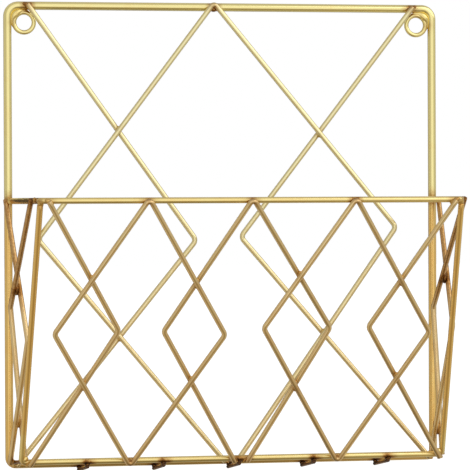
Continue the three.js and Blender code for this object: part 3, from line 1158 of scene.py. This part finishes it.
@dataclass
class Welds:
    """The spot welds of one group, each metal that was pressed or melted out between two wires.

    Half sizes are in radii: the collar's in its wire's, and the others in the thinner wire's.
    """

    name: str
    contacts: list[Contact]
    sides: int = 20
    collar: Vector = field(default_factory=lambda: Vector((1, 1, 0.8)))
    puddle: Vector = field(default_factory=lambda: Vector((1.55, 1.2, 0.95)))
    seam: Vector = field(default_factory=lambda: Vector((1.5, 1.0, 0.8)))
    longest: float = 2.4
    width_share: float = 0.86
    height_share: float = 0.9
    ooze: float = 0.7
    butting_cosine: float = 0.6
    seam_angle: float = 0.3
    least_half_angle: float = 0.45
    heat_reach: float = 2.4

    def model(self) -> Object:
        """Model each form once, copy it to each contact and join the copies.

        Returns:
            The piece that holds the welds.
        """
        forms = {shape: self.form(shape) for shape in WeldShape}
        copies = [self.placed(forms, contact) for contact in self.contacts]
        bpy.ops.object.select_all(action="DESELECT")
        for form in forms.values():
            form.select_set(True)
        bpy.ops.object.delete()
        for copy in copies:
            copy.select_set(True)
        bpy.context.view_layer.objects.active = copies[0]
        bpy.ops.object.join()
        piece = bpy.context.object
        piece.name = self.name
        return piece

    def form(self, shape: WeldShape) -> Object:
        """Extrude a disc ring by ring through a profile.

        Args:
            shape: the form.

        Returns:
            The form, of unit size round the origin.
        """
        bpy.ops.object.select_all(action="DESELECT")
        height, radius = shape.value[0]
        bpy.ops.mesh.primitive_circle_add(
            vertices=self.sides, radius=radius, location=(0, 0, height), fill_type="NGON",
        )
        form = open_mesh(shape.name.lower())
        for next_height, next_radius in shape.value[1:]:
            bpy.ops.mesh.extrude_region_move(TRANSFORM_OT_translate={"value": (0, 0, next_height - height)})
            share = next_radius / radius
            bpy.ops.transform.resize(value=(share, share, 1), center_override=(0, 0, next_height))
            height, radius = next_height, next_radius
        close_mesh()
        return form

    def placed(self, forms: dict[WeldShape, Object], contact: Contact) -> Object:
        """Copy the right form to a contact, turned and stretched to fit the two wires.

        Args:
            forms: the unit forms.
            contact: where the wires touch.

        Returns:
            The copy, with its place in its mesh.
        """
        shape, side, axis, size = self.fit(contact)
        copy = forms[shape].copy()
        copy.data = forms[shape].data.copy()
        bpy.context.collection.objects.link(copy)
        turn = Matrix((side, axis.cross(side), axis)).transposed()
        stretch = Matrix.Diagonal((*(size * MM), 1))
        copy.data.transform(Matrix.Translation(contact.at * MM) @ turn.to_4x4() @ stretch)
        # The weld's mark, of heat and painted shade
        heat = [(contact.at, scorch(contact))]
        mark_plate(copy, contact.first.node, heat, radius=0.0, reach=self.heat_reach * size.length)
        return copy

    def fit(self, contact: Contact) -> tuple[WeldShape, Vector, Vector, Vector]:
        """Choose a weld's form, directions and half sizes.

        Args:
            contact: where the wires touch.

        Returns:
            The form, its long direction, its axis and its half sizes in millimetres.
        """
        axis = contact.across
        first, second = contact.first, contact.second
        butts_first = contact.first_end and abs(contact.first_along.dot(axis)) > self.butting_cosine
        butts_second = contact.second_end and abs(contact.second_along.dot(axis)) > self.butting_cosine
        if butts_first or butts_second:
            wire, along = (second, contact.second_along) if butts_second else (first, contact.first_along)
            away = axis if butts_second else -axis
            along = along if along.dot(away) > 0 else -along
            return WeldShape.COLLAR, along.orthogonal().normalized(), along, self.collar * wire.radius

        a = (contact.first_along - axis * contact.first_along.dot(axis)).normalized()
        b = (contact.second_along - axis * contact.second_along.dot(axis)).normalized()
        b = b if a.dot(b) > 0 else -b
        thin = min(first.radius, second.radius)
        if contact.first_end or contact.second_end:
            bar = b if contact.first_end else a
            return WeldShape.PUDDLE, bar, axis, self.puddle * thin
        if a.angle(b) < self.seam_angle:
            return WeldShape.CROSSING, a, axis, self.seam * thin
        half = max(a.angle(b) / 2, self.least_half_angle)
        length = min(thin / math.sin(half) + self.ooze * chance(contact.at), self.longest * thin)
        size = Vector((length, thin / math.cos(half) * self.width_share, thin * self.height_share))
        return WeldShape.CROSSING, (a + b).normalized(), axis, size


@dataclass
class LoopWeld:
    """The filler that was run into the crescent between a hanging loop and the frame's corner."""

    sizes: RackSizes
    side: Side
    steps: int = 16
    sides: int = 20
    thickness: float = 2.35
    depth: float = 2.3
    reach_past: float = 24
    overlap: float = 0.97

    # Share of the full section at each ring, from under the top bar to beside the upright
    SWELL = (0.14, 0.26, 0.38, 0.5, 0.64, 0.8, 0.96, 1.07, 1.12, 1.07, 0.96, 0.8, 0.62, 0.46, 0.32, 0.2, 0.08)

    def model(self) -> Object:
        """Spin an oval along the crescent, then swell and pinch its rings.

        Returns:
            The filler's object, with its place in its mesh.
        """
        s = self.sizes
        centre = s.place(self.side.value * (s.half_width - s.loop_reach), s.frame_y, s.origin_rise)
        radius = s.loop_hole + s.loop_wire * self.overlap
        first = math.radians(90 - self.reach_past)
        turn = math.radians(90 + 2 * self.reach_past)

        def spoke(angle: float) -> Vector:
            """The direction from the loop's middle, by its angle up from the rack's middle."""
            return Vector((self.side.value * -math.cos(angle), 0, math.sin(angle)))

        start = spoke(first)
        bpy.ops.object.select_all(action="DESELECT")
        bpy.ops.mesh.primitive_circle_add(vertices=self.sides, radius=MM)
        section = bpy.context.object
        section.scale = (self.thickness, self.depth, 1)
        bpy.ops.object.transform_apply(location=True, rotation=True, scale=True)
        turned = Matrix((start, TO_WALL, start.cross(TO_WALL))).transposed().to_4x4()
        section.data.transform(Matrix.Translation((centre + start * radius) * MM) @ turned)
        piece = open_mesh(f"loop_weld_{self.side.word}")
        bpy.ops.mesh.spin(steps=self.steps, angle=-self.side.value * turn, center=centre * MM, axis=TO_WALL)
        for step, share in enumerate(self.SWELL):
            out = spoke(first + turn * step / self.steps)
            at = (centre + out * radius) * MM
            select_ring(piece.data, at, out.cross(TO_WALL), max(self.thickness, self.depth) * MM)
            bpy.ops.transform.resize(value=(share, share, share), center_override=at)
            if step in (0, self.steps):
                bpy.ops.mesh.edge_face_add()
        close_mesh()
        return piece


# Finishes

WHITE = (1.0, 1.0, 1.0, 1.0)


def towards(azimuth: float, elevation: float) -> Vector:
    """A direction by its angle right of the front and its angle up, in degrees."""
    a, e = math.radians(azimuth), math.radians(elevation)
    return Vector((math.sin(a) * math.cos(e), -math.cos(a) * math.cos(e), math.sin(e)))


def seen_directly(tree: Tree) -> Socket:
    """One for a ray that shows the background: a camera, glossy or transmission ray."""
    path = add_node(tree, "ShaderNodeLightPath").outputs
    either = arithmetic(tree, "MAXIMUM", path["Is Camera Ray"], path["Is Glossy Ray"])
    return arithmetic(tree, "MAXIMUM", either, path["Is Transmission Ray"])


@dataclass(frozen=True)
class GoldPlate:
    """Low-carbon steel wire, bright nickel and a thin gold-coloured electroplate under clear lacquer.

    The eye sees a glossy pale yellow metal, turned amber by a painted reflection of the gold wires round it,
    a tone that wanders a little, faint lines along each wire from its drawing, and a redder, duller tint at
    the welds, partly weld heat and partly painted shade where wires meet and under the bars.
    """

    name: str
    lemon: str = "#F5E7A2"
    amber: str = "#F2C877"
    # Tints of the weld marks: amber for heat and painted shade, dark brown for scorch and deep painted shade
    heat: str = "#AE762E"
    scorch: str = "#4E3014"
    roughness: float = 0.14
    cloud_mm: float = 9.0
    speckle_mm: float = 1.6
    ripple_mm: float = 1.5
    ripple_depth_mm: float = 0.006
    line_mm: float = 0.28
    line_depth_mm: float = 0.0022
    line_drift_mm: float = 30.0
    lacquer: float = 0.35
    lacquer_roughness: float = 0.1

    # Where a noise's values mostly lie
    usual: tuple[float, float] = (0.3, 0.7)

    # How far clouds move the tone, and how strong the weakest and the strongest speckles leave a mark of heat
    # and painted shade
    tone_wander: tuple[float, float] = (-0.16, 0.16)
    mark_strength: tuple[float, float] = (0.6, 1.0)

    # The marks over which the plate turns to the amber tint of heat and painted shade, and from that to their
    # dark brown
    warming: tuple[float, float] = (0.0, 0.6)
    burning: tuple[float, float] = (0.45, 1.0)

    # What clouds, lines and marks add to the roughness
    haze: tuple[float, float] = (-0.03, 0.04)
    line_roughness: float = 0.05
    mark_roughness: float = 0.12

    def build(self) -> bpy.types.Material:
        """Make the material.

        Returns:
            The material, with its pattern in millimetres on object coordinates.
        """
        material = new_material(self.name)
        tree = material.node_tree
        place = object_place(tree)
        clouds = noise(tree, place, self.cloud_mm, detail=3.0)
        speckle = noise(tree, place, self.speckle_mm, detail=2.0)
        # Marks of weld heat and painted shade, broken up by speckle
        mark = arithmetic(tree, "MULTIPLY", attribute(tree, "weld_heat"),
                          ramp(tree, speckle, self.usual, self.mark_strength))
        lines = self.lines(tree, place)
        haze = ramp(tree, clouds, self.usual, tuple(self.roughness + h for h in self.haze))
        lined = arithmetic(tree, "MULTIPLY_ADD", lines, self.line_roughness, haze)
        rough = arithmetic(tree, "MULTIPLY_ADD", mark, self.mark_roughness, lined)
        waved = self.relief(tree, noise(tree, place, self.ripple_mm, detail=2.0), self.ripple_depth_mm)
        shader = add_node(tree, "ShaderNodeBsdfPrincipled", inputs={
            "Base Color": self.colour(tree, clouds, mark), "Metallic": 1.0, "Roughness": rough,
            "Normal": self.relief(tree, lines, self.line_depth_mm, waved),
            "Coat Weight": self.lacquer, "Coat Roughness": self.lacquer_roughness, "Coat Normal": waved,
        })
        add_node(tree, "ShaderNodeOutputMaterial", inputs={"Surface": shader.outputs[0]})
        return material

    def colour(self, tree: Tree, clouds: Socket, mark: Socket) -> Socket:
        """The plate's drift from the top of the rack down, a painted reflection of the gold wires round it,
        blurred by clouds, and the marks of weld heat and painted shade round the welds.

        Args:
            tree: the node tree.
            clouds: a slow noise.
            mark: how strongly weld heat and painted shade have marked the place.

        Returns:
            The colour's socket.
        """
        wander = ramp(tree, clouds, self.usual, self.tone_wander)
        # The drift toward amber is a painted reflection of the gold wires round each one
        tone = arithmetic(tree, "ADD", attribute(tree, "plate_tone"), wander, clamp=True)
        plate = blend(tree, tone, linear(self.lemon), linear(self.amber))
        warmed = blend(tree, ramp(tree, mark, self.warming), plate, linear(self.heat))
        return blend(tree, ramp(tree, mark, self.burning), warmed, linear(self.scorch))

    def lines(self, tree: Tree, place: Socket) -> Socket:
        """The lines of the drawing die, which run along the wire because they vary mostly round it.

        Args:
            tree: the node tree.
            place: the place on the object.

        Returns:
            The lines' height.
        """
        across, drift = (
            add_node(tree, "ShaderNodeVectorMath", {"operation": "SCALE"}, {0: way, "Scale": scale})
            for way, scale in ((attribute(tree, "wire_round", "Vector"), 1 / self.line_mm),
                               (place, 1 / (self.line_drift_mm * MM)))
        )
        spot = add_node(tree, "ShaderNodeVectorMath", {"operation": "ADD"}, {
            0: across.outputs[0], 1: drift.outputs[0]})
        lines = add_node(tree, "ShaderNodeTexNoise", inputs={
            "Vector": spot.outputs[0], "Scale": 1.0, "Detail": 2.0})
        return lines.outputs[0]

    @staticmethod
    def relief(tree: Tree, height: Socket, depth_mm: float, over: Socket | None = None) -> Socket:
        """The surface's direction where it rises and falls by some depth, over a coarser relief if given."""
        inputs = {"Height": height, "Distance": depth_mm * MM, "Strength": 1.0}
        if over:
            inputs["Normal"] = over
        return add_node(tree, "ShaderNodeBump", inputs=inputs).outputs[0]


@dataclass(frozen=True)
class MattPaint:
    """White emulsion, rolled on.

    The eye sees an even floor, as white as the background where no shadow falls on it.
    """

    dark: str = "#F2F2F0"
    light: str = "#F6F6F4"
    grain_per_m: float = 300.0
    glow: float = 0.62

    def build(self) -> bpy.types.Material:
        """Make the material.

        Returns:
            The material.
        """
        material = new_material("matt_white_paint")
        tree = material.node_tree
        grain = add_node(tree, "ShaderNodeTexNoise", inputs={
            "Vector": object_place(tree), "Scale": self.grain_per_m}).outputs[0]
        paint = blend(tree, grain, linear(self.dark), linear(self.light))
        matt = add_node(tree, "ShaderNodeBsdfDiffuse", inputs={"Color": paint})
        glow = add_node(tree, "ShaderNodeEmission", inputs={"Color": WHITE, "Strength": self.glow})
        lit = add_node(tree, "ShaderNodeAddShader", inputs={0: matt.outputs[0], 1: glow.outputs[0]})
        shown = add_node(tree, "ShaderNodeMixShader", inputs={
            0: seen_directly(tree), 1: matt.outputs[0], 2: lit.outputs[0]})
        add_node(tree, "ShaderNodeOutputMaterial", inputs={"Surface": shown.outputs[0]})
        return material


@dataclass(frozen=True)
class Gauze:
    """White cotton gauze, lit from the front and from above.

    The eye sees it only in the metal: even round the sides, open in front, dimmer straight down, straight
    behind and below in front, and warm where it faces the wall and the floor.
    """

    middle: Vector

    # How the brightness follows the height, the way to the wall and the way to the apron below the front
    heights: tuple[float, float] = (-0.99, -0.82)
    height_levels: tuple[float, float] = (0.22, 0.6)
    behind: tuple[float, float] = (0.7, 0.98)
    behind_levels: tuple[float, float] = (1.0, 0.1)
    apron_elevation: float = -48.0
    apron: tuple[float, float] = (0.72, 0.97)
    apron_levels: tuple[float, float] = (1.0, 0.62)

    # How the tint and the opening follow the way to the apron and to the opening
    warmth: tuple[float, float] = (0.95, 0.45)
    opening_elevation: float = 18.0
    opening: tuple[float, float] = (0.6, 0.95)
    apron_tint: str = "#FFECC5"
    front_tint: str = "#FFFCF3"
    behind_tint: str = "#FFD4A6"

    def build(self) -> bpy.types.Material:
        """Make the material.

        Returns:
            The material.
        """
        material = new_material("white_gauze")
        tree = material.node_tree
        offset = add_node(tree, "ShaderNodeVectorMath", {"operation": "SUBTRACT"}, {
            0: object_place(tree), 1: self.middle})
        unit = add_node(tree, "ShaderNodeVectorMath", {"operation": "NORMALIZE"}, {0: offset.outputs[0]})
        aim = unit.outputs[0]
        parts = add_node(tree, "ShaderNodeSeparateXYZ", inputs={0: aim}).outputs

        height = ramp(tree, parts["Z"], self.heights, self.height_levels, eased=True)
        behind = ramp(tree, parts["Y"], self.behind, self.behind_levels, eased=True)
        to_apron = self.cosine(tree, aim, self.apron_elevation)
        below = ramp(tree, to_apron, self.apron, self.apron_levels, eased=True)
        level = arithmetic(tree, "MULTIPLY", arithmetic(tree, "MULTIPLY", height, behind), below)
        warmth = ramp(tree, to_apron, self.warmth)
        front = blend(tree, warmth, linear(self.apron_tint), linear(self.front_tint))
        tint = blend(tree, behind, linear(self.behind_tint), front)
        glow = add_node(tree, "ShaderNodeEmission", inputs={"Color": tint, "Strength": level})

        thin = ramp(tree, self.cosine(tree, aim, self.opening_elevation), self.opening, eased=True)
        clear = add_node(tree, "ShaderNodeBsdfTransparent")
        mixed = add_node(tree, "ShaderNodeMixShader", inputs={
            0: thin, 1: glow.outputs[0], 2: clear.outputs[0]})
        add_node(tree, "ShaderNodeOutputMaterial", inputs={"Surface": mixed.outputs[0]})
        return material

    @staticmethod
    def cosine(tree: Tree, aim: Socket, elevation: float) -> Socket:
        """How nearly the gauze lies straight in front at some elevation, where one is there."""
        inputs = {0: aim, 1: towards(0, elevation)}
        return add_node(tree, "ShaderNodeVectorMath", {"operation": "DOT_PRODUCT"}, inputs).outputs["Value"]


@dataclass(frozen=True)
class Tone:
    """How the plate's tone drifts down a wire, from pale (0) to amber (1), between two heights: a painted
    reflection of the gold wires round it. Painted shade may also darken the wire's upper part.

    Heights are in the row's frame, in millimetres.
    """

    upper: float
    lower: float
    start: float = -60.0
    end: float = -250.0
    # Painted shade on the wire's upper part, fading out down the drift
    browned: float = 0.0

    def share(self, height: float) -> float:
        """How far down the drift a height is, eased at both ends."""
        share = min(1.0, max(0.0, (self.start - height) / (self.start - self.end)))
        return share * share * (3 - 2 * share)

    def at(self, height: float) -> float:
        """The tone at a height."""
        return self.upper + (self.lower - self.upper) * self.share(height)

    def heat(self, height: float) -> float:
        """How much painted shade darkens the plate at a height, away from any weld."""
        return self.browned * (1 - self.share(height))


# Each wire's tone, by how its node's name starts. The first that fits is the wire's. The amber is a painted
# reflection of the gold wires round each wire, the front frame's pale elbows are a painted highlight, and the
# darkening of the side chevrons' tops and of the floor wires is painted shade.
TONES = {
    "back_frame": Tone(0.0, 0.95, start=-108, end=-134),
    "hanging_loop": Tone(0.1, 0.1),
    "back_": Tone(0.05, 0.45),
    "basket_rim": Tone(0.35, 0.35),
    "front_frame": Tone(1.0, 0.35, start=-262, end=-289),
    "front_": Tone(0.6, 0.8),
    "side_": Tone(0.9, 0.8, start=-180, end=-200, browned=0.5),
    "floor_": Tone(1.0, 1.0, start=-400, end=-500, browned=0.75),
}


def mark_plate(piece: Object, name: str, welds: list[tuple[Vector, float]], radius: float,
               reach: float) -> None:
    """Write each vertex's plate tone, and how strongly the heat of the nearest weld has marked it.

    Args:
        piece: the wire's or the welds' object.
        name: the wire's node, or the start of the node's name that the weld is like.
        welds: where the welds are, in millimetres, and how dark heat and painted shade leave each.
        radius: the wire's, within which a mark keeps its strength, in millimetres.
        reach: how far a mark fades out beyond that, in millimetres.
    """
    tone = next(tone for start, tone in TONES.items() if name.startswith(start))
    tones = piece.data.attributes.new("plate_tone", "FLOAT", "POINT")
    heat_and_shade_marks = piece.data.attributes.new("weld_heat", "FLOAT", "POINT")
    for index, vertex in enumerate(piece.data.vertices):
        at = vertex.co / MM
        marks = (
            level * math.exp(-((max(0.0, (at - spot).length - radius) / reach) ** 2)) for spot, level in welds
        )
        tones.data[index].value = tone.at(at.z)
        # The nearest weld's mark of heat and painted shade, plus the wire's own painted shade
        heat_and_shade_marks.data[index].value = max(marks, default=0.0) + tone.heat(at.z)


# Stage


@dataclass(frozen=True)
class Softbox:
    """A lamp behind white cloth, by its place round the rack's middle, its size and its brightness."""

    name: str
    azimuth: float
    elevation: float
    away: float
    width: float
    height: float
    radiance: float

    def hang(self, middle: Vector) -> None:
        """Hang the softbox so that it faces the rack's middle."""
        data = bpy.data.lights.new(self.name, "AREA")
        data.shape = "RECTANGLE"
        data.size, data.size_y = self.width, self.height
        data.energy = self.radiance * math.pi * self.width * self.height
        lamp = bpy.data.objects.new(self.name, data)
        direction = towards(self.azimuth, self.elevation)
        turn = (-direction).to_track_quat("-Z", "Y").to_matrix().to_4x4()
        lamp.matrix_world = Matrix.Translation(middle + direction * self.away) @ turn
        lamp.visible_camera = False
        bpy.context.scene.collection.objects.link(lamp)


@dataclass
class Studio:
    """A pale floor, a white background, a softbox and a gauze tent round the rack, in metres and degrees.

    Bright metal looks like what stands round it. The tent's gauze is thin in front, where the white
    background shows through it to the metal, and dimmer at the sides, below and straight behind.
    """

    middle: Vector = field(default_factory=lambda: Vector((0, -0.05, -0.14)))
    camera_at: Vector = field(default_factory=lambda: Vector((-0.4702, -2.19495, -0.12145)))
    yaw: float = 12.31
    pitch: float = -0.56
    roll: float = -0.24
    focal_px: float = 3300
    frame_px: float = 470
    sensor_mm: float = 36
    farthest: float = 100
    soft_light: float = 0.55
    floor_size: float = 60
    floor_z: float = -0.75
    tent_radius: float = 2.8
    tent_drop: float = 0.55
    tent_waist: float = 0.01

    def build(self) -> None:
        """Place the camera, the lights, the floor and the tent."""
        self.camera()
        self.background()
        self.floor()
        key = Softbox("key_softbox", azimuth=56, elevation=33, away=2.0, width=2.2, height=1.4, radiance=0.9)
        key.hang(self.middle)
        self.tent()

    def camera(self) -> None:
        """Stand the camera where the photograph was taken from."""
        yaw, pitch, roll = (math.radians(a) for a in (self.yaw, self.pitch, self.roll))
        forward = Vector((math.sin(yaw) * math.cos(pitch), math.cos(yaw) * math.cos(pitch), math.sin(pitch)))
        right = Vector((math.cos(yaw), -math.sin(yaw), 0))
        up = right.cross(forward)
        level = right * math.cos(roll) + up * math.sin(roll)
        upright = up * math.cos(roll) - right * math.sin(roll)
        data = bpy.data.cameras.new("camera")
        data.sensor_width = self.sensor_mm
        data.lens = self.focal_px / self.frame_px * data.sensor_width
        data.clip_end = self.farthest
        camera = bpy.data.objects.new("camera", data)
        turn = Matrix((level, upright, -forward)).transposed()
        camera.matrix_world = Matrix.Translation(self.camera_at) @ turn.to_4x4()
        bpy.context.scene.collection.objects.link(camera)
        bpy.context.scene.camera = camera

    def background(self) -> None:
        """White to the camera, the metal and clear things, and a soft grey light to the rest."""
        world = bpy.data.worlds.new("white_background")
        bpy.context.scene.world = world
        world.use_nodes = True
        tree = world.node_tree
        tree.nodes.clear()
        white, soft = (add_node(tree, "ShaderNodeBackground", inputs={"Color": WHITE, "Strength": strength})
                       for strength in (1.0, self.soft_light))
        mixed = add_node(tree, "ShaderNodeMixShader", inputs={
            0: seen_directly(tree), 1: soft.outputs[0], 2: white.outputs[0]})
        add_node(tree, "ShaderNodeOutputWorld", inputs={"Surface": mixed.outputs[0]})

    def floor(self) -> None:
        """A pale painted floor."""
        bpy.ops.object.select_all(action="DESELECT")
        bpy.ops.mesh.primitive_plane_add(size=self.floor_size, location=(0, 0, self.floor_z))
        bpy.ops.object.transform_apply(location=True, rotation=True, scale=True)
        floor = bpy.context.object
        floor.name = "floor"
        floor.data.materials.append(MattPaint().build())

    def tent(self) -> None:
        """Hang the gauze tent, which only shiny surfaces see, and press its lower half flat."""
        bpy.ops.object.select_all(action="DESELECT")
        bpy.ops.mesh.primitive_uv_sphere_add(
            segments=64, ring_count=32, radius=self.tent_radius, location=self.middle,
        )
        tent = open_mesh("gauze_tent")
        bpy.ops.mesh.select_all(action="DESELECT")
        shape = bmesh.from_edit_mesh(tent.data)
        for vertex in shape.verts:
            vertex.select = vertex.co.z < self.middle.z - self.tent_waist
        shape.select_flush(True)
        bmesh.update_edit_mesh(tent.data)
        squash = self.tent_drop / self.tent_radius
        bpy.ops.transform.resize(value=(1, 1, squash), center_override=self.middle)
        bpy.ops.object.mode_set(mode="OBJECT")
        tent.data.materials.append(Gauze(self.middle).build())
        for ray in ("camera", "diffuse", "transmission", "volume_scatter", "shadow"):
            setattr(tent, f"visible_{ray}", False)


# Assembly


def smooth(piece: Object) -> None:
    """Shade a piece smoothly, except over its sharp edges."""
    bpy.ops.object.select_all(action="DESELECT")
    piece.select_set(True)
    bpy.context.view_layer.objects.active = piece
    bpy.ops.object.shade_smooth_by_angle(angle=math.radians(SHARPEST_SMOOTH))


def dress(wire: Wire, materials: dict[Slot, bpy.types.Material], welds: list[tuple[Vector, float]],
          mark_core: float = 1.75, mark_reach: float = 2.3) -> None:
    """Model one wire, give it its finish and let it stand for its solid.

    Args:
        wire: the wire.
        materials: the finish of each slot.
        welds: where this wire is welded, and how dark heat and painted shade leave each place.
        mark_core: the greatest distance from a weld at which its mark keeps its strength, in millimetres.
        mark_reach: how far a mark fades out beyond that, in millimetres.
    """
    piece = wire.model()
    smooth(piece)
    wire.mark_round(piece)
    mark_plate(piece, wire.node, welds, min(mark_core, wire.radius), mark_reach)
    piece.data.materials.append(materials[wire.slot])
    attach(piece, "root")
    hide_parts(wire.node)
    low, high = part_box(wire.node)
    corners = [v.co for v in piece.data.vertices]
    new_low = Vector([min(c[k] for c in corners) for k in range(3)])
    new_high = Vector([max(c[k] for c in corners) for k in range(3)])
    stray = max((new_low - low).length, (new_high - high).length) / MM
    log.info("%s: %d faces, %.2f mm from its solid's box", piece.name, len(piece.data.polygons), stray)


def finish_welds(piece: Object, material: bpy.types.Material) -> None:
    """Give a piece of welds its finish and let it ride with the rack.

    Args:
        piece: the welds' object.
        material: the finish.
    """
    smooth(piece)
    piece.data.materials.append(material)
    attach(piece, "root")
    log.info("%s: %d faces", piece.name, len(piece.data.polygons))


def build_rack() -> None:
    """Build each sub-assembly's wires, then the welds between them."""
    sizes = RackSizes()
    groups: list[SubAssembly] = [
        BackFrame(sizes),
        back_lattice(sizes),
        BasketFrame(sizes),
        front_lattice(sizes),
        SideLattice(sizes, Side.LEFT, SideForm(
            rear_bend=(24, 106), fore_bend=(14, 85), fore_foot=11.5, outer="rear", outer_offset=4.1,
        )),
        SideLattice(sizes, Side.RIGHT, SideForm(
            rear_bend=(20, 103), fore_bend=(9, 92), fore_foot=14, outer="fore", outer_offset=2.6,
        )),
        Floor(sizes),
    ]
    materials = {
        Slot.FRAME: GoldPlate("gold_electroplate_on_heavy_wire").build(),
        Slot.LATTICE: GoldPlate("gold_electroplate_on_thin_wire", lemon="#EDE2AE", amber="#EBC890",
                                cloud_mm=6.0).build(),
    }
    wires = [wire for group in groups for wire in group.wires()]
    contacts = [centred(contact) for contact in find_contacts(wires)]
    # Dark lumps inside the tall diamond's top tip, painted shade of the gap under the top bar
    contacts += [tip_web(c) for c in contacts if is_tip(c) and is_top(c)]
    contacts += elbow_webs(next(wire for wire in wires if wire.node == "front_frame"))
    log.info("%d wires, %d welds", len(wires), len(contacts))
    loops = [c for c in contacts if isinstance(c.first, Ring) or isinstance(c.second, Ring)]
    spots = [c for c in contacts if c not in loops]
    for wire in wires:
        # Each wire takes the marks of heat and painted shade round its welds
        dress(wire, materials, [(c.at, scorch(c)) for c in contacts if wire in (c.first, c.second)])

    plate = GoldPlate("gold_electroplate_on_weld", lemon="#F0DC92", amber="#E0B262", roughness=0.2,
                      cloud_mm=2.2, ripple_depth_mm=0.02, line_depth_mm=0.0).build()
    frame_spots = [c for c in spots if Slot.LATTICE not in (c.first.slot, c.second.slot)]
    lattice_spots = [c for c in spots if Slot.LATTICE in (c.first.slot, c.second.slot)]
    finish_welds(Welds("frame_welds", frame_spots).model(), plate)
    finish_welds(Welds("lattice_welds", lattice_spots).model(), plate)
    for side in Side:
        filler = LoopWeld(sizes, side).model()
        mark_plate(filler, "hanging_loop", welds=[], radius=0.0, reach=1.0)
        finish_welds(filler, plate)


def main() -> None:
    """Build the rack, then the studio round it."""
    build_rack()
    Studio().build()
    bpy.context.scene.view_settings.view_transform = "Standard"


if __name__ == "__main__":
    main()
